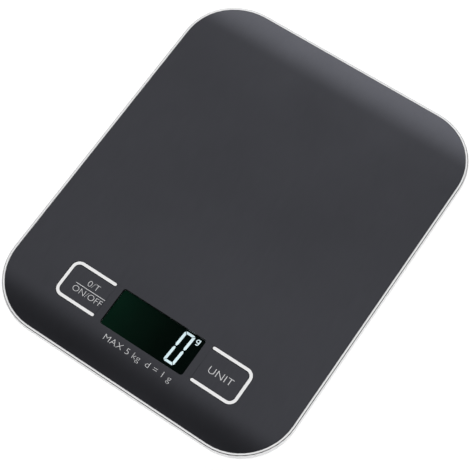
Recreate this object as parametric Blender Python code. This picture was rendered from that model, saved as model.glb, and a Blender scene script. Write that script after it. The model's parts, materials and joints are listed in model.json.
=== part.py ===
"""A slim battery kitchen scale: a flat steel platform in a two-part housing, on four weighing feet.

Frame: +Z up, +Y to the rear, display at the front (-Y). The origin is on the table, under the middle.
All lengths are in metres. Run with: blender --background --python part.py
"""

import math

import bmesh
import bpy
from mathutils import Matrix, Vector

# ---- Driving dimensions ----------------------------------------------------------------------
BODY_LENGTH = 0.230
BODY_WIDTH = 0.184
BODY_HEIGHT = 0.018
BODY_CORNER = 0.034
GROUND_CLEARANCE = 0.003  # underside of the bottom housing above the table
GAP = 0.0003  # kept between pieces that touch
THIN_GAP = 0.0002  # the same between glued or lapped layers

# Outline steps, measured inwards from the body's outline
LIP_INNER = 0.0006
TOP_HOUSING_INSET = 0.00095
PANEL_RECESS_INSET = 0.00175
PANEL_INSET = 0.002
SKIRT_INNER = 0.0023

# Steel platform and the deck under it
PANEL_THICK = 0.0005
DECK_THICK = 0.0013
DECK_TOP = BODY_HEIGHT - PANEL_THICK - THIN_GAP
DECK_BOTTOM = DECK_TOP - DECK_THICK
RIM_TOP = BODY_HEIGHT - 0.00005
SKIRT_BOTTOM = 0.0140

# Bottom housing: a lip, a short upright wall, then a round undercut down to a flat floor
LIP_TOP = BODY_HEIGHT - 0.0005
UNDERCUT_TOP = 0.0150
UNDERCUT_RADIUS = UNDERCUT_TOP - GROUND_CLEARANCE
SHELL_WALL = 0.0014
LEDGE_Z = SKIRT_BOTTOM - THIN_GAP
FLOOR_TOP = GROUND_CLEARANCE + SHELL_WALL

# The platform's front and rear ends roll down on a large radius
ROLL_START = 0.0917
ROLL_DROP = 0.0012  # at the platform's edge
ROLL_ROWS = 4  # flat strips across each rolled end
ROLL_STEP = (BODY_LENGTH / 2 - ROLL_START) / ROLL_ROWS

# Display window and the two U-shaped button slots, all on one line across the front
CONTROLS_Y = -0.0794
WINDOW_HALF = (0.0268, 0.0116)
WINDOW_CORNER = 0.0015
SLOT_WIDTH = 0.0023
RIDGE_WIDTH = 0.00175
RIDGE_SHIFT = (0.00004, 0.00012)  # the ridges sit a little off the middle of their slots
SLOT_OPEN_X = 0.0313  # the slot's open ends, where each button flexes
SLOT_FAR_X = 0.0577  # the slot's centreline at its closed end
SLOT_HALF_Y = 0.01035
SLOT_BEND = 0.0041
HINGE_SLIT = 0.0003  # half the hairline at a button's hinge line

# Circuit board, display stack and switches, from the bottom up
BOARD_HALF = (0.0505, 0.0165)
BOARD_BOTTOM = 0.0070
BOARD_THICK = 0.0016
BOARD_TOP = BOARD_BOTTOM + BOARD_THICK
PARTS_Z = BOARD_TOP + GAP
LCD_HALF = (0.0295, 0.0133)
LCD_BOTTOM = 0.0124
LCD_TOP = 0.0146
SWITCH_X = 0.047
SWITCH_SIZE = 0.006
SWITCH_TOP = 0.0120
PLUNGER_RADIUS = 0.0017
PLUNGER_TOP = 0.0129
BOARD_SCREW = (0.035, 0.0136)  # from the middle of the controls

# Weighing feet
FOOT_X = 0.065
FOOT_Y = 0.085
FOOT_HOLE = 0.0102
PAD_RADIUS = 0.0079
PLATE_BOTTOM = 0.0080
PLATE_THICK = 0.0016
PLATE_HALF = 0.012
PLATE_CORNER = 0.007
HOLDER_WALL = 0.0012

# Battery bay for two AAA cells that lie across the scale
BAY_Y = 0.021
BAY_HALF = (0.0256, 0.0126)
BAY_WALL = 0.0012
BAY_ROOF = (0.0151, 0.0158)
CELL_RADIUS = 0.0051
CELL_LENGTH = 0.0445
CELL_PITCH = 0.0112
CELL_Z = FLOOR_TOP + GAP + CELL_RADIUS
CONTACT_THICK = 0.0004
COVER_HALF = (BAY_HALF[0] - GAP, BAY_HALF[1] - GAP)
COVER_HINGE = Vector((0, BAY_Y + BAY_HALF[1] - GAP / 2, GROUND_CLEARANCE))
HOOK_X = 0.015
HOOK_WIDTH = 0.006

# Screws that hold the two housings together
HOUSING_SCREW = (0.070, 0.052)
BOSS_RADIUS = 0.0032

CORNERS = (("front_left", -1, -1), ("front_right", 1, -1), ("rear_left", -1, 1), ("rear_right", 1, 1))
SIDES = (("zero", -1), ("unit", 1))
ROUND_SIDES = 20


# ---- Materials -------------------------------------------------------------------------------
def make_material(name, colour, roughness, metallic=0.0, alpha=1.0):
    material = bpy.data.materials.new(name)
    material.use_nodes = True
    shader = material.node_tree.nodes["Principled BSDF"]
    shader.inputs["Base Color"].default_value = (*colour, 1)
    shader.inputs["Roughness"].default_value = roughness
    shader.inputs["Metallic"].default_value = metallic
    shader.inputs["Alpha"].default_value = alpha
    material.diffuse_color = (*colour, alpha)
    return material


def make_materials():
    return {
        "dark_steel": make_material("dark_steel", (0.045, 0.046, 0.053), 0.38, 0.7),
        "white_abs": make_material("white_abs", (0.80, 0.80, 0.81), 0.35),
        "smoked_lens": make_material("smoked_lens", (0.01, 0.03, 0.02), 0.08, alpha=0.5),
        "lcd_cell": make_material("lcd_cell", (0.008, 0.02, 0.014), 0.15),
        "black_plastic": make_material("black_plastic", (0.02, 0.02, 0.022), 0.5),
        "diffuser": make_material("diffuser", (0.75, 0.85, 0.85), 0.3),
        "board_green": make_material("board_green", (0.02, 0.16, 0.07), 0.4),
        "grey_rubber": make_material("grey_rubber", (0.22, 0.22, 0.23), 0.85),
        "bright_steel": make_material("bright_steel", (0.62, 0.62, 0.64), 0.3, 1.0),
        "white_potting": make_material("white_potting", (0.72, 0.71, 0.67), 0.6),
        "red_wire": make_material("red_wire", (0.5, 0.02, 0.02), 0.5),
        "black_wire": make_material("black_wire", (0.015, 0.015, 0.015), 0.5),
        "cell_jacket": make_material("cell_jacket", (0.05, 0.18, 0.33), 0.3),
    }


# ---- Shapes ----------------------------------------------------------------------------------
def new_object(name, bm, smooth_degrees=35):
    """Turns a bmesh into a linked object with outward faces, smooth where it is round."""
    bmesh.ops.recalc_face_normals(bm, faces=bm.faces)
    mesh = bpy.data.meshes.new(name)
    bm.to_mesh(mesh)
    bm.free()
    mesh.shade_smooth()
    mesh.set_sharp_from_angle(angle=math.radians(smooth_degrees))
    obj = bpy.data.objects.new(name, mesh)
    bpy.context.scene.collection.objects.link(obj)
    return obj


def arc(centre, radius, start, end, steps):
    """Points on an arc in XY, angles in degrees, both ends included."""
    angles = [math.radians(start + (end - start) * i / steps) for i in range(steps + 1)]
    return [(centre[0] + radius * math.cos(a), centre[1] + radius * math.sin(a)) for a in angles]


def rounded_rect(half_x, half_y, radius, steps=4, centre=(0, 0)):
    points = []
    for sx, sy, start in ((1, -1, -90), (1, 1, 0), (-1, 1, 90), (-1, -1, 180)):
        middle = (centre[0] + sx * (half_x - radius), centre[1] + sy * (half_y - radius))
        points += arc(middle, radius, start, start + 90, steps)
    return points


def body_outline(inset, steps=12):
    """The body's outline, moved inwards; its corners stay concentric."""
    return rounded_rect(BODY_WIDTH / 2 - inset, BODY_LENGTH / 2 - inset, BODY_CORNER - inset, steps)


def loft(name, rings, smooth_degrees=35):
    """A closed solid through rings that each have the same number of points, capped at both ends."""
    bm = bmesh.new()
    loops = [[bm.verts.new(point) for point in ring] for ring in rings]
    for low, high in zip(loops, loops[1:]):
        for i, vert in enumerate(low):
            j = (i + 1) % len(low)
            bm.faces.new((vert, low[j], high[j], high[i]))
    bm.faces.new(loops[0])
    bm.faces.new(loops[-1])
    return new_object(name, bm, smooth_degrees)


def prism(name, outline, bottom, top):
    return loft(name, [[(x, y, z) for x, y in outline] for z in (bottom, top)])


def box(name, low, high):
    outline = ((low[0], low[1]), (high[0], low[1]), (high[0], high[1]), (low[0], high[1]))
    return prism(name, outline, low[2], high[2])


def turned(name, profile, at=(0, 0), sides=ROUND_SIDES):
    """Revolves (radius, z) pairs about a vertical axis. The first and last rings are capped."""
    rings = []
    for radius, z in profile:
        steps = [2 * math.pi * i / sides for i in range(sides)]
        rings.append([(at[0] + radius * math.cos(a), at[1] + radius * math.sin(a), z) for a in steps])
    return loft(name, rings)


def cylinder(name, at, radius, bottom, top, sides=ROUND_SIDES):
    return turned(name, ((radius, bottom), (radius, top)), at, sides)


def swept_tube(name, points, radius, sides):
    """A round bar along points, for springs. Each ring stands square to the path."""
    rings = []
    for i, point in enumerate(points):
        ahead = Vector(points[min(i + 1, len(points) - 1)]) - Vector(points[max(i - 1, 0)])
        side = ahead.cross(Vector((1, 0, 0))).normalized()
        other = ahead.cross(side).normalized()
        angles = [2 * math.pi * k / sides for k in range(sides)]
        rings.append([Vector(point) + radius * (side * math.cos(a) + other * math.sin(a)) for a in angles])
    return loft(name, rings, 60)


def combine(obj, operation, *tools):
    """Applies a Boolean with each tool in turn, and removes the tools."""
    for tool in tools:
        modifier = obj.modifiers.new(operation, "BOOLEAN")
        modifier.operation = operation
        modifier.solver = "EXACT"
        modifier.object = tool
        bpy.context.view_layer.update()
        graph = bpy.context.evaluated_depsgraph_get()
        mesh = bpy.data.meshes.new_from_object(obj.evaluated_get(graph))
        obj.modifiers.clear()
        obj.data = mesh
        bpy.data.objects.remove(tool)
    return obj


def cut(obj, *tools):
    return combine(obj, "DIFFERENCE", *tools)


def add(obj, *tools):
    return combine(obj, "UNION", *tools)


def drop_at(y):
    """How far the platform's surface has rolled down at y."""
    run = BODY_LENGTH / 2 - PANEL_INSET - ROLL_START
    radius = (run**2 + ROLL_DROP**2) / (2 * ROLL_DROP)
    past = max(0.0, abs(y) - ROLL_START)
    return radius - math.sqrt(radius**2 - past**2)


def strip_drop(y):
    """The same drop, straight from row to row, so that every strip of the mesh stays flat."""
    rows = max(0.0, (abs(y) - ROLL_START) / ROLL_STEP)
    row = min(int(rows), ROLL_ROWS - 1)
    near, far = (drop_at(ROLL_START + i * ROLL_STEP) for i in (row, row + 1))
    return near + (far - near) * (rows - row)


def roll_ends(obj):
    """Bends a flat-built piece down at its front and rear ends, fading to nothing at the floor."""
    bm = bmesh.new()
    bm.from_mesh(obj.data)
    for row in range(ROLL_ROWS):
        for side in (-1, 1):
            everything = bm.verts[:] + bm.edges[:] + bm.faces[:]
            at = (0, side * (ROLL_START + row * ROLL_STEP), 0)
            bmesh.ops.bisect_plane(bm, geom=everything, plane_co=at, plane_no=(0, 1, 0), dist=1e-6)
    for vert in bm.verts:
        share = (vert.co.z - GROUND_CLEARANCE) / (BODY_HEIGHT - GROUND_CLEARANCE)
        vert.co.z -= strip_drop(vert.co.y) * share
    bm.to_mesh(obj.data)
    bm.free()
    return obj


def finish(obj, material):
    """Gives the piece its one material and smooth shading after Booleans."""
    obj.data.materials.clear()
    obj.data.materials.append(material)
    obj.data.shade_smooth()
    obj.data.set_sharp_from_angle(angle=math.radians(35))
    return obj


def copy_at(obj, name, location, turn=0.0):
    """A further copy that shares the mesh."""
    other = bpy.data.objects.new(name, obj.data)
    other.location = location
    other.rotation_euler.z = turn
    bpy.context.scene.collection.objects.link(other)
    return other


def joint_empty(name, location):
    empty = bpy.data.objects.new(name, None)
    empty.location = location
    empty.empty_display_size = 0.01
    bpy.context.scene.collection.objects.link(empty)
    return empty


def hang(obj, empty):
    """Parents a piece modelled in place to the empty on its joint's axis."""
    obj.data.transform(Matrix.Translation(-empty.location))
    obj.parent = empty
    return obj


# ---- Buttons: outlines shared by the steel, the deck and the keys ------------------------------
def u_outline(side, width, shift=(0, 0)):
    """The U-shaped slot, or the ridge that fills it: two arms with round ends, joined at the far end."""
    half = width / 2
    end_x = SLOT_OPEN_X + SLOT_WIDTH / 2
    bend_x, bend_y = SLOT_FAR_X - SLOT_BEND, SLOT_HALF_Y - SLOT_BEND
    outer = arc((bend_x, -bend_y), SLOT_BEND + half, -90, 0, 9)
    outer += arc((bend_x, bend_y), SLOT_BEND + half, 0, 90, 9)
    outer += arc((end_x, SLOT_HALF_Y), half, 90, 270, 8)
    outer += arc((bend_x, bend_y), SLOT_BEND - half, 90, 0, 9)
    outer += arc((bend_x, -bend_y), SLOT_BEND - half, 0, -90, 9)
    outer += arc((end_x, -SLOT_HALF_Y), half, 90, 270, 8)
    return [(side * x + shift[0], y + shift[1] + CONTROLS_Y) for x, y in outer]


def tongue_outline(side, inset, shift=(0, 0)):
    """The button's own shape inside the U, from its hinge line to the far bend."""
    far_x, half_y, bend = SLOT_FAR_X - inset, SLOT_HALF_Y - inset, SLOT_BEND - inset
    near_x = SLOT_OPEN_X + HINGE_SLIT / 2
    points = [(near_x, -half_y)]
    points += arc((far_x - bend, bend - half_y), bend, -90, 0, 9)
    points += arc((far_x - bend, half_y - bend), bend, 0, 90, 9)
    points += [(near_x, half_y)]
    return [(side * x + shift[0], y + shift[1] + CONTROLS_Y) for x, y in points]


def cut_button_hole(obj, side, inset, bottom, top, shift=(0, 0)):
    """Cuts the hole for a button. The near end's hairline stands in for the living hinge."""
    cut(obj, prism("tongue", tongue_outline(side, inset, shift), bottom, top))
    x0, x1 = sorted((side * (SLOT_OPEN_X - HINGE_SLIT) + shift[0], side * (SLOT_OPEN_X + HINGE_SLIT) + shift[0]))
    y, half_y = CONTROLS_Y + shift[1], SLOT_HALF_Y - inset
    return cut(obj, box("slit", (x0, y - half_y, bottom), (x1, y + half_y, top)))


# ---- Platform and housings ---------------------------------------------------------------------
def make_platform_panel(mats):
    bottom = BODY_HEIGHT - PANEL_THICK
    panel = prism("platform_panel", body_outline(PANEL_INSET), bottom, BODY_HEIGHT)
    window = rounded_rect(*WINDOW_HALF, WINDOW_CORNER, centre=(0, CONTROLS_Y))
    cut(panel, prism("window", window, bottom - GAP, BODY_HEIGHT + GAP))
    for _, side in SIDES:
        cut(panel, prism("slot", u_outline(side, SLOT_WIDTH), bottom - GAP, BODY_HEIGHT + GAP))
        cut_button_hole(panel, side, SLOT_WIDTH / 2 - THIN_GAP, bottom - GAP, BODY_HEIGHT + GAP)
    return finish(roll_ends(panel), mats["dark_steel"])


def board_screw_places():
    return [(sx * BOARD_SCREW[0], CONTROLS_Y + sy * BOARD_SCREW[1]) for _, sx, sy in CORNERS]


def housing_screw_places():
    return [(sx * HOUSING_SCREW[0], sy * HOUSING_SCREW[1]) for _, sx, sy in CORNERS]


def make_top_housing(mats):
    shell = prism("top_housing", body_outline(TOP_HOUSING_INSET), SKIRT_BOTTOM, RIM_TOP)
    cut(shell, prism("recess", body_outline(PANEL_RECESS_INSET), DECK_TOP, BODY_HEIGHT + GAP))
    cut(shell, prism("hollow", body_outline(SKIRT_INNER), SKIRT_BOTTOM - GAP, DECK_BOTTOM))
    roll_ends(shell)
    overlap = DECK_BOTTOM + DECK_THICK / 2
    rib_bottom, rib = DECK_BOTTOM - 0.0020, 0.0004
    for y in (-0.045, 0.050, 0.075):
        add(shell, box("cross_rib", (-0.080, y - rib, rib_bottom), (0.080, y + rib, overlap)))
    for x in (-0.045, 0.045):
        add(shell, box("long_rib", (x - rib, -0.055, rib_bottom), (x + rib, 0.095, overlap)))
    for at in board_screw_places():
        add(shell, cylinder("board_boss", at, 0.0026, BOARD_TOP + GAP, overlap, 16))
        cut(shell, cylinder("pilot", at, 0.0011, BOARD_BOTTOM, DECK_BOTTOM, 12))
    for at in housing_screw_places():
        add(shell, cylinder("boss", at, BOSS_RADIUS, PLATE_BOTTOM, overlap, 16))
        cut(shell, cylinder("pilot", at, 0.00135, GROUND_CLEARANCE, 0.0145, 12))
    window = rounded_rect(*WINDOW_HALF, WINDOW_CORNER, centre=(0, CONTROLS_Y))
    cut(shell, prism("window", window, DECK_BOTTOM - GAP, BODY_HEIGHT))
    for _, side in SIDES:
        add(shell, prism("ridge", u_outline(side, RIDGE_WIDTH, RIDGE_SHIFT), overlap, RIM_TOP))
        cut_button_hole(shell, side, RIDGE_WIDTH / 2, DECK_BOTTOM - GAP, BODY_HEIGHT, RIDGE_SHIFT)
    return finish(shell, mats["white_abs"])


def bottom_shell_rings():
    """Rings from the outer floor, up the undercut and over the lip, then down the inside."""
    steps = 5
    rings = []

    def arc_ring(radius, degrees):
        angle = math.radians(degrees)
        inset = UNDERCUT_RADIUS - radius * math.cos(angle)
        z = UNDERCUT_TOP - radius * math.sin(angle)
        rings.append([(x, y, z) for x, y in body_outline(inset)])

    for i in range(steps + 1):
        arc_ring(UNDERCUT_RADIUS, 90 - 90 * i / steps)
    for inset, z in ((0, LIP_TOP), (LIP_INNER, LIP_TOP), (LIP_INNER, LEDGE_Z)):
        rings.append([(x, y, z) for x, y in body_outline(inset)])
    inner = UNDERCUT_RADIUS - SHELL_WALL
    ledge = math.degrees(math.asin((UNDERCUT_TOP - LEDGE_Z) / inner))
    for i in range(steps + 1):
        arc_ring(inner, ledge + (90 - ledge) * i / steps)
    return rings


def make_bottom_housing(mats):
    shell = roll_ends(loft("bottom_housing", bottom_shell_rings()))
    inside, outside = FLOOR_TOP - SHELL_WALL / 2, GROUND_CLEARANCE - GAP
    for _, sx, sy in CORNERS:
        cut(shell, cylinder("foot_hole", (sx * FOOT_X, sy * FOOT_Y), FOOT_HOLE, outside, FLOOR_TOP + GAP, 24))
    for at in housing_screw_places():
        add(shell, cylinder("boss", at, BOSS_RADIUS + 0.0008, inside, PLATE_BOTTOM - GAP, 16))
        cut(shell, turned("stepped_hole", ((0.0028, outside), (0.0028, 0.0052), (0.0014, 0.0052), (0.0014, 0.010)), at, 16))
    x, y = BAY_HALF
    wall = BAY_WALL
    add(shell, box("bay", (-x - wall, BAY_Y - y - wall, inside), (x + wall, BAY_Y + y + wall, BAY_ROOF[1])))
    cut(shell, box("bay_inside", (-x, BAY_Y - y, outside), (x, BAY_Y + y, BAY_ROOF[0])))
    for side in (-1, 1):
        x0, x1 = sorted((side * (x - 0.0014), side * (x + wall / 2)))
        stop_z = FLOOR_TOP + GAP
        add(shell, box("cover_stop", (x0, BAY_Y - 0.009, stop_z), (x1, BAY_Y + 0.009, stop_z + 0.0012)))
        reach = (HOOK_WIDTH / 2 + 0.0005, wall + 2 * GAP)
        low = (side * HOOK_X - reach[0], BAY_Y + y - GAP, FLOOR_TOP)
        cut(shell, box("hook_notch", low, (side * HOOK_X + reach[0], BAY_Y + y + reach[1], 0.0080)))
    scoop_y = BAY_Y - y
    cut(shell, turned("finger_scoop", ((0.0070, outside), (0.0060, GROUND_CLEARANCE + 0.0008)), (0, scoop_y), 24))
    for _, y_rib in (("front", -0.040), ("rear", 0.060)):
        low, high = (-0.060, y_rib - 0.0005, inside), (0.060, y_rib + 0.0005, FLOOR_TOP + 0.0020)
        add(shell, box("floor_rib", low, high))
    return finish(shell, mats["white_abs"])


# ---- Buttons and switches ------------------------------------------------------------------------
def make_buttons(mats):
    plate_bottom = BODY_HEIGHT - PANEL_THICK
    for name, side in SIDES:
        plate = prism(f"{name}_button_plate", tongue_outline(side, SLOT_WIDTH / 2), plate_bottom, BODY_HEIGHT)
        key = prism(f"{name}_button_key", tongue_outline(side, SLOT_WIDTH / 2 + GAP), DECK_BOTTOM, DECK_TOP)
        half = 0.0015
        low = (side * SWITCH_X - half, CONTROLS_Y - half, PLUNGER_TOP + GAP)
        add(key, box("actuator", low, (side * SWITCH_X + half, CONTROLS_Y + half, DECK_TOP - DECK_THICK / 2)))
        empty = joint_empty(f"{name}_button_joint", (side * SLOT_OPEN_X, CONTROLS_Y, DECK_TOP))
        hang(finish(plate, mats["dark_steel"]), empty)
        hang(finish(key, mats["white_abs"]), empty)


def make_switches(mats):
    half = SWITCH_SIZE / 2
    for name, side in SIDES:
        at = (side * SWITCH_X, CONTROLS_Y)
        outline = rounded_rect(half, half, 0.0005, 2, at)
        body = prism(f"{name}_switch_body", outline, PARTS_Z, SWITCH_TOP)
        cut(body, cylinder("well", at, PLUNGER_RADIUS + GAP, 0.0104, SWITCH_TOP + GAP, 16))
        finish(body, mats["black_plastic"])
        plunger = cylinder(f"{name}_switch_plunger", at, PLUNGER_RADIUS, 0.0109, PLUNGER_TOP, 16)
        empty = joint_empty(f"{name}_switch_joint", (*at, PLUNGER_TOP))
        hang(finish(plunger, mats["white_abs"]), empty)


# ---- Display and circuit board -------------------------------------------------------------------
def make_display(mats):
    centre = (0, CONTROLS_Y)
    lens_top = BODY_HEIGHT - 0.00015
    flange = rounded_rect(LCD_HALF[0], LCD_HALF[1], WINDOW_CORNER, 3, centre)
    clear = (WINDOW_HALF[0] - THIN_GAP, WINDOW_HALF[1] - THIN_GAP)
    lens = prism("display_lens", flange, LCD_TOP + GAP, DECK_BOTTOM - GAP)
    boss = rounded_rect(*clear, WINDOW_CORNER - THIN_GAP, 4, centre)
    finish(add(lens, prism("boss", boss, LCD_TOP + 2 * GAP, lens_top)), mats["smoked_lens"])

    back_half_y = LCD_HALF[1] + 0.0002
    middle = (LCD_BOTTOM + LCD_TOP) / 2
    cell = prism("lcd_glass", rounded_rect(LCD_HALF[0], back_half_y, 0.0003, 1, centre), LCD_BOTTOM, middle)
    front = rounded_rect(LCD_HALF[0], LCD_HALF[1] - 0.0020, 0.0003, 1, centre)
    finish(add(cell, prism("front_glass", front, middle - GAP, LCD_TOP)), mats["lcd_cell"])

    light = rounded_rect(0.0290, 0.0114, 0.0005, 1, centre)
    finish(prism("backlight_guide", light, PARTS_Z, LCD_BOTTOM - GAP), mats["diffuser"])
    for name, sy in (("front", -1), ("rear", 1)):
        y = CONTROLS_Y + sy * 0.0125
        strip = box(f"zebra_strip_{name}", (-0.025, y - 0.0007, PARTS_Z), (0.025, y + 0.0007, LCD_BOTTOM - GAP))
        finish(strip, mats["grey_rubber"])

    outer = rounded_rect(LCD_HALF[0] + 0.0015, LCD_HALF[1] + 0.0017, 0.0008, 2, centre)
    inner = rounded_rect(LCD_HALF[0] + GAP, LCD_HALF[1] + 0.0005, 0.0004, 2, centre)
    bezel = prism("lcd_bezel", outer, PARTS_Z, LCD_TOP)
    finish(cut(bezel, prism("opening", inner, PARTS_Z - GAP, LCD_TOP + GAP)), mats["black_plastic"])


def make_board(mats):
    outline = rounded_rect(*BOARD_HALF, 0.001, 2, (0, CONTROLS_Y))
    board = prism("main_board", outline, BOARD_BOTTOM, BOARD_TOP)
    for at in board_screw_places():
        cut(board, cylinder("hole", at, 0.0012, BOARD_BOTTOM - GAP, BOARD_TOP + GAP, 12))
    finish(board, mats["board_green"])
    dome = ((0.0020, 0.0053), (0.0045, 0.0057), (0.0065, 0.0064), (0.0070, BOARD_BOTTOM - GAP))
    finish(turned("controller_chip", dome, (0.008, CONTROLS_Y + 0.002), 20), mats["black_plastic"])


def make_screw(name, head_radius, shank_radius, head_bottom, head_height, tip_z):
    """A pan-head screw that points up, with a square-ended driver slot in its head."""
    head_top = head_bottom + head_height
    profile = (
        (head_radius * 0.75, head_bottom),
        (head_radius, head_bottom + head_height * 0.4),
        (head_radius, head_top),
        (shank_radius, head_top),
        (shank_radius, tip_z - shank_radius),
        (shank_radius * 0.3, tip_z),
    )
    screw = turned(name, profile, sides=12)
    reach, half = head_radius * 0.6, head_radius * 0.12
    low, high = head_bottom - GAP, head_bottom + head_height * 0.45
    cut(screw, box("slot_a", (-reach, -half, low), (reach, half, high)))
    cut(screw, box("slot_b", (-half, -reach, low), (half, reach, high)))
    return screw


def make_screws(mats):
    head = 0.0012
    first = make_screw("board_screw", 0.0020, 0.0009, BOARD_BOTTOM - GAP - head, head, 0.0135)
    finish(first, mats["bright_steel"])
    for (corner, _, _), at in zip(CORNERS, board_screw_places()):
        copy_at(first, f"board_screw_{corner}", (*at, 0))
    bpy.data.objects.remove(first)
    first = make_screw("housing_screw", 0.0025, 0.00115, 0.0036, 0.0014, 0.0140)
    finish(first, mats["bright_steel"])
    for (corner, _, _), at in zip(CORNERS, housing_screw_places()):
        copy_at(first, f"housing_screw_{corner}", (*at, 0))
    bpy.data.objects.remove(first)


# ---- Weighing feet ---------------------------------------------------------------------------------
def make_sensor_plate():
    """A stamped steel plate whose middle tongue bends when the foot presses it."""
    outline = rounded_rect(PLATE_HALF, PLATE_HALF, PLATE_CORNER, 4)
    plate = prism("sensor_plate", outline, PLATE_BOTTOM, PLATE_BOTTOM + PLATE_THICK)
    low, high = PLATE_BOTTOM - GAP, PLATE_BOTTOM + PLATE_THICK + GAP
    for side in (-1, 1):
        x0, x1 = sorted((side * 0.0045, side * 0.0068))
        cut(plate, box("side_slot", (x0, -0.0080, low), (x1, 0.0080, high)))
    return cut(plate, box("end_slot", (-0.0068, 0.0057, low), (0.0068, 0.0080, high)))


def make_sensor_holder():
    """A square carrier on the floor: a round bore for the foot, and a nest for the plate."""
    half = PLATE_HALF + HOLDER_WALL
    bottom, top = FLOOR_TOP + GAP, PLATE_BOTTOM + PLATE_THICK + 0.0006
    holder = prism("sensor_holder", rounded_rect(half, half, PLATE_CORNER + HOLDER_WALL, 4), bottom, top)
    cut(holder, cylinder("bore", (0, 0), 0.0117, bottom - GAP, top + GAP, 24))
    nest = PLATE_HALF + THIN_GAP
    outline = rounded_rect(nest, nest, PLATE_CORNER + THIN_GAP, 4)
    return cut(holder, prism("nest", outline, PLATE_BOTTOM - THIN_GAP, top + GAP))


def make_foot_cup():
    """The foot: a rim round the pad, a flange that keeps it in, and a stem that presses on the sensor."""
    rim_bottom, recess_top, recess = 0.0006, 0.0016, PAD_RADIUS + GAP
    profile = (
        (recess, recess_top),
        (recess, rim_bottom),
        (0.0093, rim_bottom),
        (0.0095, rim_bottom + 0.0003),
        (0.0095, FLOOR_TOP + GAP),
        (0.0112, FLOOR_TOP + GAP),
        (0.0112, FLOOR_TOP + 0.0013),
        (0.0030, FLOOR_TOP + 0.0013),
        (0.0026, PLATE_BOTTOM - GAP),
    )
    return turned("foot_cup", profile, sides=24)


def make_foot_pad():
    profile = ((PAD_RADIUS - 0.0005, 0), (PAD_RADIUS, 0.0005), (PAD_RADIUS, 0.0013))
    return turned("foot_pad", profile, sides=24)


def make_feet(mats):
    plate = finish(make_sensor_plate(), mats["bright_steel"])
    holder = finish(make_sensor_holder(), mats["black_plastic"])
    top = PLATE_BOTTOM + PLATE_THICK + THIN_GAP
    gauge = loft(
        "strain_gauge",
        [
            [(x, y, z) for x, y in rounded_rect(half[0], half[1], 0.0012, 3, (0, -0.0045))]
            for half, z in (((0.0036, 0.0030), top), ((0.0036, 0.0030), top + 0.0004), ((0.0026, 0.0020), top + 0.0009))
        ],
    )
    finish(gauge, mats["white_potting"])
    cup = finish(make_foot_cup(), mats["white_abs"])
    pad = finish(make_foot_pad(), mats["grey_rubber"])
    for corner, sx, sy in CORNERS:
        at = (sx * FOOT_X, sy * FOOT_Y, 0)
        turn = 0.0 if sy < 0 else math.pi
        copy_at(plate, f"sensor_plate_{corner}", at, turn)
        copy_at(holder, f"sensor_holder_{corner}", at, turn)
        copy_at(gauge, f"strain_gauge_{corner}", at, turn)
        copy_at(cup, f"foot_cup_{corner}", at)
        copy_at(pad, f"foot_pad_{corner}", at)
    for piece in (plate, holder, gauge, cup, pad):
        bpy.data.objects.remove(piece)


# ---- Batteries --------------------------------------------------------------------------------------
def cell_y(row):
    """Row -1 is the front cell, row 1 the rear one."""
    return BAY_Y + row * CELL_PITCH / 2


def spin_along_x(obj, start_x, direction, y):
    """Lays a piece that was turned about Z along X, its base at start_x."""
    tilt = Matrix.Rotation(math.radians(90 * direction), 4, "Y")
    obj.data.transform(Matrix.Translation((start_x, y, CELL_Z)) @ tilt)
    return obj


def make_cells(mats):
    nub = 0.0010
    can = CELL_LENGTH - nub
    for name, row, direction in (("front", -1, -1), ("rear", 1, 1)):
        profile = (
            (CELL_RADIUS - 0.0006, 0),
            (CELL_RADIUS, 0.0004),
            (CELL_RADIUS, can - 0.0004),
            (CELL_RADIUS - 0.0006, can),
            (0.0019, can),
            (0.0018, CELL_LENGTH),
        )
        tip = direction * (BAY_HALF[0] - 2 * GAP - CONTACT_THICK)
        cell = turned(f"battery_{name}", profile)
        spin_along_x(cell, tip - direction * CELL_LENGTH, direction, cell_y(row))
        finish(cell, mats["cell_jacket"])


def contact_plate(name, side, low_y, high_y):
    x0, x1 = sorted((side * (BAY_HALF[0] - GAP), side * (BAY_HALF[0] - GAP - CONTACT_THICK)))
    return box(name, (x0, low_y, 0.0066), (x1, high_y, 0.0136))


def contact_spring(side, row):
    """A cone of wire from the contact plate to the cell's flat end."""
    base = side * (BAY_HALF[0] - GAP - CONTACT_THICK / 2)
    cell_end = side * (BAY_HALF[0] - 2 * GAP - CONTACT_THICK - (2 * BAY_HALF[0] - 4 * GAP - 2 * CONTACT_THICK - CELL_LENGTH))
    reach = cell_end + side * GAP * 1.8 - base
    turns, per_turn = 2.5, 10
    count = int(turns * per_turn)
    points = []
    for i in range(count + 1):
        share = i / count
        radius = 0.0034 - 0.0014 * share
        angle = 2 * math.pi * turns * share
        points.append((base + reach * share, cell_y(row) + radius * math.cos(angle), CELL_Z + radius * math.sin(angle)))
    return swept_tube("spring", points, 0.00028, 6)


def make_contacts(mats):
    half = 0.0045
    positive = contact_plate("contact_positive", -1, cell_y(-1) - half, cell_y(-1) + half)
    negative = contact_plate("contact_negative", -1, cell_y(1) - half, cell_y(1) + half)
    bridge = contact_plate("contact_bridge", 1, cell_y(-1) - half, cell_y(1) + half)
    finish(positive, mats["bright_steel"])
    finish(add(negative, contact_spring(-1, 1)), mats["bright_steel"])
    finish(add(bridge, contact_spring(1, -1)), mats["bright_steel"])


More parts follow.
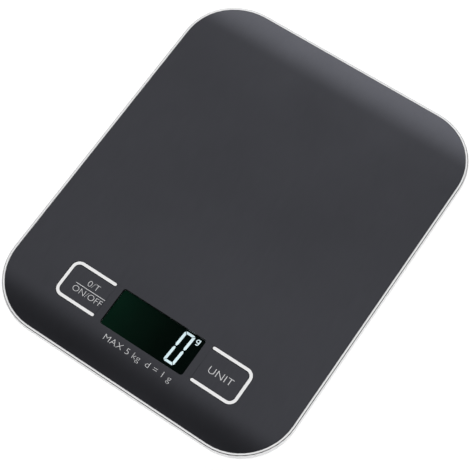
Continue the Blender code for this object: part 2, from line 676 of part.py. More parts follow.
def make_battery_cover(mats):
    """The lid: two rear hooks to pivot on, a front latch finger and grip lines outside."""
    x, y = COVER_HALF
    outline = rounded_rect(x, y, 0.0008, 2, (0, BAY_Y))
    cover = prism("battery_cover", outline, GROUND_CLEARANCE, FLOOR_TOP)
    inside = FLOOR_TOP - SHELL_WALL / 2
    rear = BAY_Y + y
    for side in (-1, 1):
        x0, x1 = side * HOOK_X - HOOK_WIDTH / 2, side * HOOK_X + HOOK_WIDTH / 2
        add(cover, box("hook_root", (x0, rear - 0.0012, inside), (x1, rear, FLOOR_TOP + 0.0013)))
        low = (x0, rear - 0.0006, FLOOR_TOP + GAP)
        add(cover, box("hook", low, (x1, rear + BAY_WALL + 0.0004, FLOOR_TOP + 0.0012)))
    front = BAY_Y - y
    add(cover, box("latch", (-0.004, front + 0.0002, inside), (0.004, front + 0.0012, FLOOR_TOP + 0.0030)))
    for row in range(4):
        y0 = front + 0.0022 + row * 0.0014
        low = (-0.005, y0, GROUND_CLEARANCE - GAP)
        cut(cover, box("grip", low, (0.005, y0 + 0.0006, GROUND_CLEARANCE + 0.0004)))
    hang(finish(cover, mats["white_abs"]), joint_empty("battery_cover_joint", COVER_HINGE))


# ---- Leads ------------------------------------------------------------------------------------------
def lead(name, points, radius, material):
    """A lead that the housing holds all the way, on a smooth curve through its own few points."""
    guide = [Vector(points[0]), *[Vector(p) for p in points], Vector(points[-1])]
    path = []
    for a, b, c, d in zip(guide, guide[1:], guide[2:], guide[3:]):
        steps = max(2, round((c - b).length / (radius * 12)))
        for i in range(steps):
            t = i / steps
            path.append(
                0.5 * (2 * b + (c - a) * t + (2 * a - 5 * b + 4 * c - d) * t**2 + (3 * b - a - 3 * c + d) * t**3)
            )
    path.append(guide[-1])
    curve = bpy.data.curves.new(name, "CURVE")
    curve.dimensions = "3D"
    curve.bevel_depth = radius
    curve.bevel_resolution = 1
    curve.use_fill_caps = True
    spline = curve.splines.new("POLY")
    spline.points.add(len(path) - 1)
    for point, place in zip(spline.points, path):
        point.co = (*place, 1)
    curve.materials.append(material)
    bpy.context.scene.collection.objects.link(bpy.data.objects.new(name, curve))


def make_leads(mats):
    """Four sensor leads and the two battery leads, all ending on the board's top face."""
    radius = 0.0008
    gauge_z, board_z = 0.0117, BOARD_TOP + GAP + radius
    for corner, side, sy in CORNERS:
        gauge_y = sy * (FOOT_Y + 0.0045)
        if sy < 0:
            route = ((0.066, gauge_y), (0.060, gauge_y + 0.001), (0.0545, -0.090), (0.0455, -0.090))
            heights = (gauge_z, 0.0125, 0.0119, board_z)
        else:
            route = ((0.066, gauge_y), (0.062, 0.084), (0.059, 0.060), (0.057, 0.0), (0.057, -0.050), (0.0480, -0.067))
            heights = (gauge_z, 0.0125, 0.0110, 0.0090, 0.0100, board_z)
        points = [(side * x, y, z) for (x, y), z in zip(route, heights)]
        lead(f"sensor_lead_{corner}", points, radius, mats["black_wire"])
    start_x = -(BAY_HALF[0] + BAY_WALL + GAP)
    for name, row, end_x in (("red", -1, -0.040), ("black", 1, -0.044)):
        points = [
            (start_x, cell_y(row), 0.0110),
            (end_x + 0.006, cell_y(row) - 0.003, 0.0095),
            (end_x, cell_y(row) - 0.012, 0.0085),
            (end_x, -0.020, 0.0080),
            (end_x, -0.050, 0.0095),
            (end_x, -0.0665, board_z),
        ]
        lead(f"battery_lead_{name}", points, radius, mats[f"{name}_wire"])


def main():
    for obj in list(bpy.data.objects):
        bpy.data.objects.remove(obj)
    mats = make_materials()
    make_platform_panel(mats)
    make_top_housing(mats)
    make_bottom_housing(mats)
    make_buttons(mats)
    make_switches(mats)
    make_display(mats)
    make_board(mats)
    make_screws(mats)
    make_feet(mats)
    make_cells(mats)
    make_contacts(mats)
    make_battery_cover(mats)
    make_leads(mats)


main()
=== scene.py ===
"""The kitchen scale on a pale floor: materials, print, lit display, smooth skins, camera and light."""

import json
import math

import bmesh
import bpy
from mathutils import Matrix, Vector


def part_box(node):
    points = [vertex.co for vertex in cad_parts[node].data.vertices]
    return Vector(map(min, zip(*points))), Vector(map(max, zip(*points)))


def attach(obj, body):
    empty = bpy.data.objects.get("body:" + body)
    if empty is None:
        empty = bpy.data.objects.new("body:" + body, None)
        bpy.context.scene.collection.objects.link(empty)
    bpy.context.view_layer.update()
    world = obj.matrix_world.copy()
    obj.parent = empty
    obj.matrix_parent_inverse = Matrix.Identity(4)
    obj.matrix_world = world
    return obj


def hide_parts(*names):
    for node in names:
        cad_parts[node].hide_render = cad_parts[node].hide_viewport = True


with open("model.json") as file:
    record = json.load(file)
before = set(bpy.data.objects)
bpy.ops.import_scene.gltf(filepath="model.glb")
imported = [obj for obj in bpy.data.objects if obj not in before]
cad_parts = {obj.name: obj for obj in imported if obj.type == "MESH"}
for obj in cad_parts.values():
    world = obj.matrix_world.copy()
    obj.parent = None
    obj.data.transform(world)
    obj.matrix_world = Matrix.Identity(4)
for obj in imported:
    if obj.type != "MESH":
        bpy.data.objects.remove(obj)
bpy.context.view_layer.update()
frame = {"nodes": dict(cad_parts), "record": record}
NODES = frame["nodes"]
SLOT_OF = {part["node"]: part["material_slot"] for part in frame["record"]["subparts"]}

MM = 0.001
PANEL_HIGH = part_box("platform_panel")[1]
TOP = PANEL_HIGH.z
WINDOW_LOW, WINDOW_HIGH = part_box("display_lens")
CONTROLS_Y = (WINDOW_LOW.y + WINDOW_HIGH.y) / 2
LCD_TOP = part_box("lcd_glass")[1].z

# The steel sheet, whose outlines the skins share with the CAD
PANEL_CORNER = 32 * MM
SHEET_THICK = 0.5 * MM
EDGE_ROUND = 0.1 * MM
ROLL_START = 91.7 * MM
ROLL_DROP = 1.2 * MM
ROLL_RADIUS = ((PANEL_HIGH.y - ROLL_START) ** 2 + ROLL_DROP**2) / (2 * ROLL_DROP)
ROLL_ROWS = 14
WINDOW_HALF = (26.8 * MM, 11.6 * MM)
WINDOW_CORNER = 1.5 * MM
SLOT_OPEN_X = 31.3 * MM
SLOT_FAR_X = 57.7 * MM
SLOT_HALF_Y = 10.35 * MM
SLOT_BEND = 4.1 * MM
SLOT_HALF_WIDTH = 1.15 * MM
SLOT_STEPS = 10  # sides of each bend and each round end
HINGE_GAP = 0.02 * MM

# Where the white moulding gets painted shade: at these heights and corner radii
DECK_LOW = 16.2 * MM
RIDGE_TOP = 17.7 * MM
SEAM_LOW, SEAM_HIGH = 14.0 * MM, 17.5 * MM
RIM_OUTSIDE = 33.05 * MM
LIP_INSIDE = 33.4 * MM
OVERLAP = 0.05 * MM  # how far a painted shade goes past the edge that it ends at
SOFT_EDGE = 0.03 * MM  # half the width over which the white gives way to a painted shade

# Print, display and light
PRINT_THICK = 0.015 * MM
SHEET_TOP = TOP - PRINT_THICK
FONT_CAP = 0.729  # the height of a capital in Blender's own font, at size 1
LIT_THICK = 0.03 * MM
LIT_GAP = 0.05 * MM  # from the display cell to the lit crystal
LIT_SLANT = 0.055
RIGHT_LIGHT = 0.3  # how bright the right side of the studio is, against the left
END_LIGHT = 0.55  # the studio's brightness towards both ends of the X axis
FLOOR_REACH = 12.0
SMOOTH_ANGLE = math.radians(35)


def set_stops(ramp, stops):
    """Fills a colour ramp. Each stop is (position, colour)."""
    elements = ramp.elements
    while len(elements) < len(stops):
        elements.new(0.5)
    for element, (position, colour) in zip(elements, stops):
        element.position = position
        element.color = (*colour, 1)


# ---- Node materials --------------------------------------------------------------------------
class Nodes:
    """A short way to write one material's node tree. Object coordinates are metres on the CAD."""

    def __init__(self, name, **sockets):
        self.material = bpy.data.materials.new(name)
        self.material.use_nodes = True
        self.tree = self.material.node_tree
        self.shader = self.tree.nodes["Principled BSDF"]
        self.place = self.add("ShaderNodeTexCoord").outputs["Object"]
        for socket, value in sockets.items():
            self.shader.inputs[socket.replace("_", " ")].default_value = value

    def add(self, kind, **settings):
        node = self.tree.nodes.new(kind)
        for key, value in settings.items():
            setattr(node, key, value)
        return node

    def link(self, source, socket):
        self.tree.links.new(source, socket)

    def noise(self, scale, detail=3.0, stretch=(1, 1, 1)):
        mapping = self.add("ShaderNodeMapping")
        mapping.inputs["Scale"].default_value = stretch
        self.link(self.place, mapping.inputs["Vector"])
        noise = self.add("ShaderNodeTexNoise")
        noise.inputs["Scale"].default_value = scale
        noise.inputs["Detail"].default_value = detail
        self.link(mapping.outputs["Vector"], noise.inputs["Vector"])
        return noise.outputs["Fac"]

    def ramp(self, source, stops, interpolation="LINEAR"):
        ramp = self.add("ShaderNodeValToRGB")
        ramp.color_ramp.interpolation = interpolation
        set_stops(ramp.color_ramp, stops)
        self.link(source, ramp.inputs["Fac"])
        return ramp.outputs["Color"]

    def spread(self, source, low, high, at=(0.3, 0.7)):
        """Maps a texture onto a range of values."""
        node = self.add("ShaderNodeMapRange")
        for name, value in (("From Min", at[0]), ("From Max", at[1]), ("To Min", low), ("To Max", high)):
            node.inputs[name].default_value = value
        self.link(source, node.inputs["Value"])
        return node.outputs["Result"]

    def math(self, operation, *sources):
        node = self.add("ShaderNodeMath", operation=operation)
        for source, socket in zip(sources, node.inputs):
            if isinstance(source, float):
                socket.default_value = source
            else:
                self.link(source, socket)
        return node.outputs[0]

    def product(self, first, second):
        return self.math("MULTIPLY", first, second)

    def above(self, source, level):
        """A mask: 1 where the source is above the level, 0 where it is below."""
        return self.spread(source, 0, 1, (level - SOFT_EDGE, level + SOFT_EDGE))

    def below(self, source, level):
        return self.spread(source, 1, 0, (level - SOFT_EDGE, level + SOFT_EDGE))

    def parts(self, vector):
        """The X, Y and Z sockets of a vector."""
        node = self.add("ShaderNodeSeparateXYZ")
        self.link(vector, node.inputs[0])
        return node.outputs

    def outline(self):
        """How far out a point is, measured as the corner radius of its own outline."""
        place = self.parts(self.place)
        squares = []
        for i, axis in enumerate("XY"):
            aside = self.math("SUBTRACT", self.math("ABSOLUTE", place[axis]), PANEL_HIGH[i] - PANEL_CORNER)
            squares.append(self.math("POWER", self.math("MAXIMUM", aside, 0.0), 2.0))
        return self.math("SQRT", self.math("ADD", *squares))

    def mix(self, factor, first, second, blend="MIX"):
        node = self.add("ShaderNodeMix", data_type="RGBA", blend_type=blend)
        for source, socket in ((factor, node.inputs[0]), (first, node.inputs[6]), (second, node.inputs[7])):
            if isinstance(source, tuple):
                socket.default_value = (*source, 1)
            elif isinstance(source, float):
                socket.default_value = source
            else:
                self.link(source, socket)
        return node.outputs[2]

    def colour(self, source):
        self.link(source, self.shader.inputs["Base Color"])

    def roughness(self, source):
        self.link(source, self.shader.inputs["Roughness"])

    def bump(self, *layers):
        """Each layer is (height texture, height in metres)."""
        previous = None
        for source, height in layers:
            node = self.add("ShaderNodeBump")
            node.inputs["Distance"].default_value = height
            self.link(source, node.inputs["Height"])
            if previous:
                self.link(previous, node.inputs["Normal"])
            previous = node.outputs["Normal"]
        self.link(previous, self.shader.inputs["Normal"])


def shade(colour, factor):
    return tuple(channel * factor for channel in colour)


def plain(name, colour, roughness, grain, bump, vary=0.06, metallic=0.0, **sockets):
    """A moulded, plated or cast surface: broad tone change, fine grain in the gloss and in the height."""
    m = Nodes(name, Metallic=metallic, **sockets)
    m.colour(m.ramp(m.noise(60, 4), ((0.3, shade(colour, 1 - vary)), (0.7, shade(colour, 1 + vary / 2)))))
    fine = m.noise(grain, 4)
    m.roughness(m.spread(fine, roughness * 0.85, roughness * 1.15))
    m.bump((fine, bump))
    return m.material


def dark_steel():
    """Charcoal coating on stainless sheet: a very fine grain along the scale, and faint smears in the gloss."""
    m = Nodes("dark_steel", Metallic=0.85)
    grain = m.noise(2500, 5, (1, 0.03, 1))
    speckle = m.noise(9000, 2)
    tone = m.mix(0.35, m.ramp(m.noise(14, 3), ((0.35, (0.041, 0.042, 0.049)), (0.65, (0.047, 0.048, 0.056)))),
                 m.ramp(grain, ((0.3, (0.036, 0.037, 0.043)), (0.7, (0.054, 0.055, 0.064)))))
    m.colour(tone)
    m.roughness(m.spread(m.noise(35, 5), 0.12, 0.16))
    m.bump((grain, 0.35e-6), (speckle, 0.2e-6))
    return m.material


def white_abs():
    """
    White moulding: smooth on top and a fine spark texture on the sides and underneath. A painted shade, near black,
    covers the deck and the walls of the clearances beside the ridges under the steel, and a grey painted shade
    darkens the seam between the two housings.
    """
    m = Nodes("white_abs", Roughness=0.4)
    place = m.parts(m.place)
    past_roll = m.math("MAXIMUM", m.math("SUBTRACT", m.math("ABSOLUTE", place["Y"]), ROLL_START), 0.0)
    drop = m.math("DIVIDE", m.math("POWER", past_roll, 2.0), 2 * ROLL_RADIUS)
    height = m.math("ADD", place["Z"], drop)
    outline = m.outline()
    # Every face but those that look up
    upright = m.spread(m.parts(m.add("ShaderNodeNewGeometry").outputs["True Normal"])["Z"], 1, 0, (0.4, 0.5))
    # Painted shade: near black on the deck and on the walls of the clearances under the steel, where little light
    # reaches
    under_steel = m.product(m.above(height, DECK_LOW), m.below(outline, PANEL_CORNER - OVERLAP))
    painted_shade_under_steel = m.product(under_steel, m.math("MAXIMUM", upright, m.below(height, RIDGE_TOP)))
    # Painted shade: the walls inside the seam between the two housings are grey
    between = m.product(m.above(outline, RIM_OUTSIDE - OVERLAP), m.below(outline, LIP_INSIDE + OVERLAP))
    seam_height = m.product(m.below(height, SEAM_HIGH), m.above(height, SEAM_LOW))
    seam_painted_shade = m.product(m.product(between, upright), seam_height)
    white = m.ramp(m.noise(25, 3), ((0.3, (0.845, 0.845, 0.85)), (0.7, (0.88, 0.88, 0.885))))
    # The white is darkened by the painted seam shade, then by the painted near-black shade under the steel
    shaded = m.mix(seam_painted_shade, white, (0.15, 0.15, 0.155))
    m.colour(m.mix(painted_shade_under_steel, shaded, (0.012, 0.012, 0.013)))
    textured = m.spread(height, 1.0, 0.08, (14.5 * MM, 16.8 * MM))
    spark = m.noise(3800, 3)
    m.bump((m.product(spark, textured), 12e-6))
    m.roughness(m.spread(spark, 0.34, 0.46))
    return m.material


def smoked_lens():
    """A dark anti-reflection lens: it only dims what is below it, a little unevenly where fingers have been."""
    m = Nodes("smoked_lens", Base_Color=(0, 0, 0, 1), Specular_IOR_Level=0.0)
    m.link(m.spread(m.noise(45, 4), 0.26, 0.30), m.shader.inputs["Alpha"])
    m.roughness(m.spread(m.noise(70, 4), 0.05, 0.11))
    return m.material


def lcd_cell():
    """The dark negative display. The backlight leaks green through it, most at its left end."""
    m = Nodes("lcd_cell", Specular_IOR_Level=0.03, Emission_Strength=1.0)
    place = m.parts(m.place)
    along = m.spread(place["X"], 0.0, 1.0, (-WINDOW_HALF[0], WINDOW_HALF[0]))
    stops = (
        (0.0, (0.0034, 0.0230, 0.0125)),
        (0.25, (0.0026, 0.0140, 0.0080)),
        (0.6, (0.0012, 0.0058, 0.0036)),
        (1.0, (0.0010, 0.0042, 0.0034)),
    )
    patches = m.ramp(m.noise(90, 2), ((0.3, (0.6,) * 3), (0.7, (1,) * 3)))
    leak = m.mix(0.35, m.ramp(along, stops), patches, "MULTIPLY")
    m.link(leak, m.shader.inputs["Emission Color"])
    m.colour(m.ramp(m.noise(400, 2), ((0.3, (0.0005, 0.0014, 0.001)), (0.7, (0.0008, 0.002, 0.0015)))))
    m.roughness(m.spread(m.noise(200, 3), 0.16, 0.24))
    return m.material


def lit_segment():
    """Lit crystal: a cool white from the backlight, slightly uneven."""
    m = Nodes("lit_segment", Roughness=0.4, Emission_Strength=1.45)
    tone = m.ramp(m.noise(160, 3), ((0.3, (0.72, 0.90, 0.95)), (0.7, (0.78, 0.95, 0.99))))
    m.colour(tone)
    m.link(tone, m.shader.inputs["Emission Color"])
    return m.material


def print_ink():
    """Thin silk-screen ink, slightly uneven."""
    m = Nodes("print_ink", Roughness=0.6)
    uneven = m.noise(2600, 3)
    m.colour(m.ramp(uneven, ((0.3, (0.58, 0.58, 0.59)), (0.7, (0.71, 0.71, 0.72)))))
    m.roughness(m.spread(uneven, 0.5, 0.7))
    m.bump((uneven, 3e-6))
    return m.material


def board_green():
    """Solder mask with a faint weave below it and the copper's raised tracks."""
    m = Nodes("board_green", Coat_Weight=0.3)
    weave = m.add("ShaderNodeTexChecker")
    weave.inputs["Scale"].default_value = 2200
    m.link(m.place, weave.inputs["Vector"])
    tracks = m.add("ShaderNodeTexBrick", offset=0.0)
    for name, value in (("Scale", 260), ("Mortar Size", 0.06), ("Brick Width", 1.4), ("Row Height", 0.5)):
        tracks.inputs[name].default_value = value
    m.link(m.place, tracks.inputs["Vector"])
    copper = m.mix(tracks.outputs["Fac"], (0.012, 0.125, 0.05), (0.04, 0.24, 0.10))
    m.colour(m.mix(0.06, copper, weave.outputs["Color"], "MULTIPLY"))
    m.roughness(m.spread(m.noise(400, 3), 0.28, 0.42))
    m.bump((tracks.outputs["Fac"], 8e-6))
    return m.material


def cell_jacket():
    """A plain two-tone shrink sleeve, with a bare ring of steel at each end of the cell."""
    m = Nodes("cell_jacket", Roughness=0.28)
    along = m.spread(m.parts(m.place)["X"], 0.0, 1.0, (-26 * MM, 26 * MM))
    steel, blue, pale = (0.60, 0.60, 0.61), (0.03, 0.13, 0.28), (0.72, 0.73, 0.75)
    stops = ((0.0, steel), (0.035, blue), (0.3, pale), (0.34, blue), (0.86, pale), (0.965, steel))
    wear = m.ramp(m.noise(900, 3), ((0.3, (0.5,) * 3), (0.7, (1,) * 3)))
    m.colour(m.mix(0.12, m.ramp(along, stops, "CONSTANT"), wear, "MULTIPLY"))
    m.roughness(m.spread(m.noise(500, 3), 0.24, 0.34))
    return m.material


MATERIALS = {
    "dark_steel": dark_steel(),
    "white_abs": white_abs(),
    "smoked_lens": smoked_lens(),
    "lcd_cell": lcd_cell(),
    "lit_segment": lit_segment(),
    "print_ink": print_ink(),
    "board_green": board_green(),
    "cell_jacket": cell_jacket(),
    "black_plastic": plain("black_plastic", (0.02, 0.02, 0.022), 0.5, 3500, 10e-6),
    "diffuser": plain("diffuser", (0.75, 0.84, 0.84), 0.3, 2500, 3e-6, 0.03),
    "grey_rubber": plain("grey_rubber", (0.20, 0.20, 0.21), 0.8, 2200, 20e-6, 0.12),
    "bright_steel": plain("bright_steel", (0.60, 0.60, 0.62), 0.28, 2600, 3e-6, 0.08, 1.0),
    "white_potting": plain("white_potting", (0.72, 0.71, 0.67), 0.6, 900, 60e-6, 0.1),
    "red_wire": plain("red_wire", (0.5, 0.02, 0.02), 0.45, 1500, 10e-6),
    "black_wire": plain("black_wire", (0.015, 0.015, 0.015), 0.45, 1500, 10e-6),
}


# ---- Geometry --------------------------------------------------------------------------------
def arc(centre, radius, start, end, steps):
    """Points on a circle, from one angle to the other, in degrees."""
    angles = [math.radians(start + (end - start) * i / steps) for i in range(steps + 1)]
    return [(centre[0] + radius * math.cos(a), centre[1] + radius * math.sin(a)) for a in angles]


def rounded_rect(half_x, half_y, radius, steps, centre=(0, 0)):
    """A rectangle's outline with round corners."""
    points = []
    for sx, sy, start in ((1, -1, -90), (1, 1, 0), (-1, 1, 90), (-1, -1, 180)):
        middle = (centre[0] + sx * (half_x - radius), centre[1] + sy * (half_y - radius))
        points += arc(middle, radius, start, start + 90, steps)
    return points


def drop_at(y):
    """How far the roll of the sheet's ends takes its surface down."""
    past = max(0.0, abs(y) - ROLL_START)
    return ROLL_RADIUS - math.sqrt(ROLL_RADIUS**2 - past**2)


def placed(name, mesh, slot, body):
    """Gives a mesh its slot's material, and lets it ride."""
    obj = bpy.data.objects.new(name, mesh)
    bpy.context.scene.collection.objects.link(obj)
    mesh.materials.clear()
    mesh.materials.append(MATERIALS[slot])
    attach(obj, body)
    return obj


def mesh_of_curve(curve):
    """The evaluated mesh of a curve or a text, whose object is then removed."""
    obj = bpy.data.objects.new("outline", curve)
    bpy.context.scene.collection.objects.link(obj)
    bpy.context.view_layer.update()
    mesh = bpy.data.meshes.new_from_object(obj.evaluated_get(bpy.context.evaluated_depsgraph_get()))
    bpy.data.objects.remove(obj)
    return mesh


def sheet(name, loops, top, thick, edge, steps=3):
    """A flat sheet with a small radius on every edge. The first loop is its outline, the rest are holes."""
    curve = bpy.data.curves.new(name, "CURVE")
    curve.dimensions = "2D"
    curve.fill_mode = "BOTH"
    curve.bevel_depth = edge
    curve.bevel_resolution = steps
    curve.extrude = thick / 2 - edge
    curve.offset = -edge
    for i, loop in enumerate(loops):
        area = sum(a[0] * b[1] - b[0] * a[1] for a, b in zip(loop, loop[1:] + loop[:1]))
        if (area > 0) == (i > 0):
            loop = loop[::-1]
        spline = curve.splines.new("POLY")
        spline.use_cyclic_u = True
        spline.points.add(len(loop) - 1)
        for point, (x, y) in zip(spline.points, loop):
            point.co = (x, y, 0, 1)
    mesh = mesh_of_curve(curve)
    mesh.transform(Matrix.Translation((0, 0, top - thick / 2)))
    return mesh


def roll_ends(mesh):
    """Cuts rows across the ends of a sheet and rolls them down."""
    bm = bmesh.new()
    bm.from_mesh(mesh)
    bmesh.ops.remove_doubles(bm, verts=bm.verts, dist=1e-7)
    for row in range(ROLL_ROWS):
        for side in (-1, 1):
            at = (0, side * (ROLL_START + (PANEL_HIGH.y - ROLL_START) * row / ROLL_ROWS), 0)
            everything = bm.verts[:] + bm.edges[:] + bm.faces[:]
            bmesh.ops.bisect_plane(bm, geom=everything, plane_co=at, plane_no=(0, 1, 0), dist=1e-7)
    for vert in bm.verts:
        vert.co.z -= drop_at(vert.co.y)
    bm.to_mesh(mesh)
    bm.free()


def soften(obj):
    """Smooth shading led by the large flat faces, which shows the small radius on each edge."""
    obj.data.shade_smooth()
    modifier = obj.modifiers.new("normals", "WEIGHTED_NORMAL")
    modifier.weight = 100
    modifier.keep_sharp = True


def button_hole(side):
    """The U slot and the hinge line, as one loop round the whole button."""
    half, hinge_x = SLOT_HALF_WIDTH, SLOT_OPEN_X - HINGE_GAP
    bend_x, bend_y = SLOT_FAR_X - SLOT_BEND, SLOT_HALF_Y - SLOT_BEND
    points = arc((bend_x, -bend_y), SLOT_BEND + half, -90, 0, SLOT_STEPS)
    points += arc((bend_x, bend_y), SLOT_BEND + half, 0, 90, SLOT_STEPS)
    points += arc((SLOT_OPEN_X + half, SLOT_HALF_Y), half, 90, 265, SLOT_STEPS)
    points += [(hinge_x, SLOT_HALF_Y - half), (hinge_x, half - SLOT_HALF_Y)]
    points += arc((SLOT_OPEN_X + half, -SLOT_HALF_Y), half, 95, 270, SLOT_STEPS)
    return [(side * x, y + CONTROLS_Y) for x, y in points]


def button_outline(side):
    """The steel inside the U."""
    inset, near_x = SLOT_HALF_WIDTH, SLOT_OPEN_X + HINGE_GAP
    far_x, half_y, bend = SLOT_FAR_X - inset, SLOT_HALF_Y - inset - HINGE_GAP, SLOT_BEND - inset
    points = [(near_x, -half_y)]
    points += arc((far_x - bend, bend - half_y), bend, -90, 0, SLOT_STEPS)
    points += arc((far_x - bend, half_y - bend), bend, 0, 90, SLOT_STEPS)
    points += [(near_x, half_y)]
    return [(side * x, y + CONTROLS_Y) for x, y in points]


def make_panel():
    """The steel sheet and the two steel buttons in it."""
    outline = rounded_rect(PANEL_HIGH.x, PANEL_HIGH.y, PANEL_CORNER, 28)
    window = rounded_rect(*WINDOW_HALF, WINDOW_CORNER, 6, (0, CONTROLS_Y))
    loops = [outline, window, button_hole(-1), button_hole(1)]
    mesh = sheet("panel_skin", loops, SHEET_TOP, SHEET_THICK, EDGE_ROUND)
    roll_ends(mesh)
    panel = placed("panel_skin", mesh, "dark_steel", "housing")
    soften(panel)
    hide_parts("platform_panel")
    for name, side in (("zero", -1), ("unit", 1)):
        mesh = sheet(f"{name}_button_skin", [button_outline(side)], SHEET_TOP, SHEET_THICK, EDGE_ROUND)
        button = placed(f"{name}_button_skin", mesh, "dark_steel", f"{name}_button")
        soften(button)
        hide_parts(f"{name}_button_plate")


# ---- Print and display -------------------------------------------------------------------------
def lettering(name, text, cap_height, left, right, baseline, body, thinner=0.1 * MM):
    """Generic lettering as a thin raised layer of ink with thin strokes, fitted between left and right."""
    curve = bpy.data.curves.new(name, "FONT")
    curve.body = text
    curve.size = (cap_height + 2 * thinner) / FONT_CAP
    curve.extrude = PRINT_THICK / 2
    curve.offset = -thinner
    curve.resolution_u = 4
    mesh = mesh_of_curve(curve)
    xs = [v.co.x for v in mesh.vertices]
    stretch = (right - left) / (max(xs) - min(xs))
    for vert in mesh.vertices:
        vert.co.x = left + (vert.co.x - min(xs)) * stretch
        vert.co.y += baseline
        vert.co.z += SHEET_TOP + PRINT_THICK / 2 - drop_at(vert.co.y)
    placed(name, mesh, "print_ink", body)


def make_print():
    """The legends on the steel and the line that divides the left button's two."""
    y, small, large = CONTROLS_Y, 3.5 * MM, 4.1 * MM
    lettering("tare_legend", "0/T", small, -44.9 * MM, -37.7 * MM, y + 1.55 * MM, "zero_button")
    lettering("on_off_legend", "ON/OFF", small, -50.6 * MM, -31.7 * MM, y - 4.75 * MM, "zero_button")
    lettering("unit_legend", "UNIT", large, 36.6 * MM, 51.6 * MM, y - 2.35 * MM, "unit_button")
    lettering("capacity_legend", "MAX 5 kg  d = 1 g", small, -19.8 * MM, 23.6 * MM, y - 18.15 * MM, "housing")
    left, right, low, high = -50.8 * MM, -31.4 * MM, y - 0.32 * MM, y + 0.03 * MM
    bar = [(left, low), (right, low), (right, high), (left, high)]
    mesh = sheet("divider_print", [bar], TOP, PRINT_THICK, PRINT_THICK / 4, 0)
    placed("divider_print", mesh, "print_ink", "zero_button")


def segment_outlines():
    """The six lit segments of a nought, a little under 7 by 20 mm, with mitred joints and cut outer corners."""
    half_w, half_h = 6.75 * MM / 2, 19.9 * MM / 2
    stroke, gap, cut = 1.55 * MM, 0.19 * MM, 0.85 * MM
    inner_x, inner_y = half_w - stroke, half_h - stroke
    top = [
        (-half_w + cut + gap, half_h),
        (half_w - cut - gap, half_h),
        (half_w - cut * 0.75, half_h - cut * 0.25),
        (inner_x, inner_y + gap),
        (-inner_x, inner_y + gap),
        (-half_w + cut * 0.75, half_h - cut * 0.25),
    ]
    tip_x, tip_half, waist, taper = half_w - stroke * 0.52, 0.35 * MM, 0.35 * MM, 1.0 * MM
    side = [
        (half_w - cut * 0.45, half_h - cut * 0.5),
        (half_w, half_h - cut * 1.25),
        (half_w, waist + taper),
        (tip_x + tip_half, waist),
        (tip_x - tip_half, waist),
        (inner_x, waist + taper),
        (inner_x, inner_y - gap),
    ]
    flips = ((side, 1, 1), (side, -1, 1), (side, 1, -1), (side, -1, -1), (top, 1, 1), (top, 1, -1))
    return [[(sx * x, sy * y) for x, y in outline] for outline, sx, sy in flips]


def gram_sign_loops():
    """A bold one-storey g: a round bowl, a straight stem and an open tail, then the hole in the bowl."""
    stem_left, stem_right, top = 0.74 * MM, 1.22 * MM, 1.50 * MM
    bowl, bowl_radius, hole_radius = (0, 0.34 * MM), 1.16 * MM, 0.65 * MM
    tail = (0.08 * MM, -0.95 * MM)
    outline = [(stem_right, top), (stem_left, top)]
    outline += arc(bowl, bowl_radius, 50.4, 309.6, 24)
    outline += arc(tail, stem_left - tail[0], 0, -125, 8)
    outline += arc(tail, stem_right - tail[0], -125, 0, 8)
    return [outline, arc(bowl, hole_radius, 0, 345, 23)]


def lit_sheet(name, groups, centre):
    """Flat lit crystal on the display cell, a little slanted. Each group is an outline, and any hole in it."""
    bm = bmesh.new()
    for loops in groups:
        slanted = [[(centre[0] + x + LIT_SLANT * y, centre[1] + y) for x, y in loop] for loop in loops]
        bm.from_mesh(sheet(name, slanted, LCD_TOP + LIT_GAP, LIT_THICK, LIT_THICK / 4, 0))
    mesh = bpy.data.meshes.new(name)
    bm.to_mesh(mesh)
    bm.free()
    placed(name, mesh, "lit_segment", "housing")


def make_display():
    """A lit nought at the right of the window, and a small g beside its top."""
    digit = [[outline] for outline in segment_outlines()]
    lit_sheet("lit_digit", digit, (16.3 * MM, CONTROLS_Y + 1.0 * MM))
    lit_sheet("lit_gram_sign", [gram_sign_loops()], (22.55 * MM, CONTROLS_Y + 9.2 * MM))


# ---- Camera, light and floor ---------------------------------------------------------------------
def make_camera():
    """A long lens, high in front of the scale's right side."""
    right = Vector((0.82375, 0.56565, -0.03857))
    up = Vector((-0.50810, 0.76671, 0.39240))
    back = right.cross(up)
    place = (0.2066, -0.2532, 0.7370 + TOP)
    camera = bpy.data.objects.new("camera", bpy.data.cameras.new("camera"))
    camera.data.lens = 113.3
    camera.data.sensor_width = 36
    camera.data.clip_start = 0.05
    camera.matrix_world = Matrix.Translation(place) @ Matrix((right, up, back)).transposed().to_4x4()
    bpy.context.scene.collection.objects.link(camera)
    bpy.context.scene.camera = camera


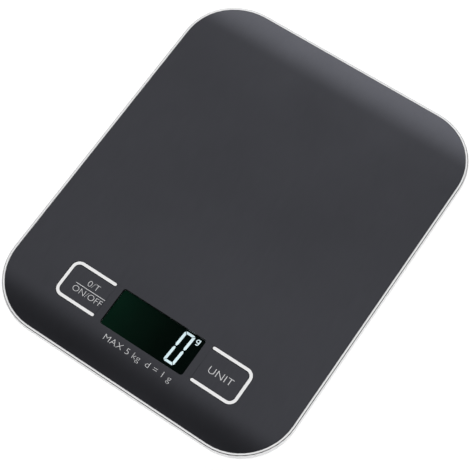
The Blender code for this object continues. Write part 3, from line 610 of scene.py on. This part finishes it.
def make_world():
    """Soft studio light: a bright bank low behind, dim overhead and in front, and least from the right."""
    world = bpy.data.worlds.new("studio")
    world.use_nodes = True
    bpy.context.scene.world = world
    tree = world.node_tree

    def add(kind, *sources, **settings):
        node = tree.nodes.new(kind)
        for key, value in settings.items():
            setattr(node, key, value)
        for socket, source in zip(node.inputs, sources):
            if isinstance(source, (int, float)):
                socket.default_value = source
            else:
                tree.links.new(source, socket)
        return node.outputs[0]

    # The bank is a ramp over the angle from straight up, positive towards the rear
    split = tree.nodes.new("ShaderNodeSeparateXYZ")
    tree.links.new(add("ShaderNodeTexCoord"), split.inputs[0])
    tilt = add("ShaderNodeMath", split.outputs["Y"], split.outputs["Z"], operation="ARCTAN2")
    stops = (
        (-180, 0.3), (-72, 0.35), (-50, 0.6), (-35, 1.1), (-22, 1.3), (-10, 0.8),
        (0, 0.15), (6, 0.3), (11, 0.9), (16, 0.95), (25, 0.78), (28, 1.3), (32, 2.15),
        (37, 2.6), (46, 2.8), (55, 2.3), (68, 0.8), (82, 0.35), (180, 0.3),
    )
    ramp = tree.nodes.new("ShaderNodeValToRGB")
    tree.links.new(add("ShaderNodeMapRange", tilt, -math.pi, math.pi, 0.0, 1.0), ramp.inputs[0])
    set_stops(ramp.color_ramp, [((degrees + 180) / 360, (value,) * 3) for degrees, value in stops])

    # Towards the ends of the X axis the light evens out, and it is dimmer on the right
    sideways = add("ShaderNodeMath", split.outputs["X"], operation="ABSOLUTE")
    near_ends = add("ShaderNodeMapRange", sideways, 0.65, 0.97, 0.0, 1.0, interpolation_type="SMOOTHSTEP")
    change = add("ShaderNodeMath", END_LIGHT, ramp.outputs[0], operation="SUBTRACT")
    bank = add("ShaderNodeMath", change, near_ends, ramp.outputs[0], operation="MULTIPLY_ADD")
    falloff = add("ShaderNodeMapRange", split.outputs["X"], 0.05, 0.9, 1.05, RIGHT_LIGHT)
    level = add("ShaderNodeVectorMath", bank, falloff, operation="MULTIPLY")
    tree.links.new(level, tree.nodes["Background"].inputs["Color"])


def make_floor():
    """
    A pale, slightly glowing floor, which glows half as much under the scale, a painted shadow below it. It is seen
    from above only, so that the underside can be looked at from below.
    """
    m = Nodes("floor", Roughness=0.6, Emission_Color=(1, 1, 1, 1))
    # Painted shadow: the glow is lower under the scale and rises towards its edge
    glow_with_painted_shadow = m.spread(m.outline(), 0.28, 0.58, (PANEL_CORNER - 14 * MM, PANEL_CORNER - 1 * MM))
    m.link(glow_with_painted_shadow, m.shader.inputs["Emission Strength"])
    m.colour(m.ramp(m.noise(3, 2), ((0.3, (0.62, 0.62, 0.62)), (0.7, (0.64, 0.64, 0.64)))))
    clear = m.add("ShaderNodeBsdfTransparent")
    mix = m.add("ShaderNodeMixShader")
    m.link(m.add("ShaderNodeNewGeometry").outputs["Backfacing"], mix.inputs[0])
    m.link(m.shader.outputs[0], mix.inputs[1])
    m.link(clear.outputs[0], mix.inputs[2])
    m.link(mix.outputs[0], m.tree.nodes["Material Output"].inputs["Surface"])
    mesh = bpy.data.meshes.new("floor")
    corners = [(sx * FLOOR_REACH, sy * FLOOR_REACH, 0) for sx, sy in ((-1, -1), (1, -1), (1, 1), (-1, 1))]
    mesh.from_pydata(corners, [], [(0, 1, 2, 3)])
    mesh.materials.append(m.material)
    floor = bpy.data.objects.new("floor", mesh)
    bpy.context.scene.collection.objects.link(floor)


def rounded_look():
    """A modifier group that joins a node's triangles and shades its rounded faces smoothly."""
    group = bpy.data.node_groups.new("rounded_look", "GeometryNodeTree")
    group.interface.new_socket("Mesh", in_out="INPUT", socket_type="NodeSocketGeometry")
    group.interface.new_socket("Mesh", in_out="OUTPUT", socket_type="NodeSocketGeometry")
    start, end = group.nodes.new("NodeGroupInput"), group.nodes.new("NodeGroupOutput")
    weld = group.nodes.new("GeometryNodeMergeByDistance")
    weld.inputs["Distance"].default_value = 1e-6
    normals = group.nodes.new("GeometryNodeSetMeshNormal")
    normals.mode = "SHARPNESS"
    normals.inputs["Remove Custom"].default_value = True
    angle = group.nodes.new("GeometryNodeInputMeshEdgeAngle")
    sharp = group.nodes.new("FunctionNodeCompare")
    sharp.operation = "GREATER_THAN"
    sharp.inputs[1].default_value = SMOOTH_ANGLE
    link = group.links.new
    link(start.outputs[0], weld.inputs["Geometry"])
    link(weld.outputs[0], normals.inputs["Mesh"])
    link(angle.outputs["Unsigned Angle"], sharp.inputs[0])
    link(sharp.outputs[0], normals.inputs["Edge Sharpness"])
    link(normals.outputs[0], end.inputs[0])
    return group


def dress_cad_nodes():
    """Gives each CAD node its slot's material and smooth shading."""
    look = rounded_look()
    for name, obj in NODES.items():
        for material_slot in obj.material_slots:
            material_slot.material = MATERIALS[SLOT_OF[name]]
        obj.modifiers.new("rounded", "NODES").node_group = look
        weighted = obj.modifiers.new("weighted", "WEIGHTED_NORMAL")
        weighted.keep_sharp = True


bpy.context.scene.view_settings.view_transform = "Standard"
make_camera()
make_world()
make_floor()
dress_cad_nodes()
make_panel()
make_print()
make_display()
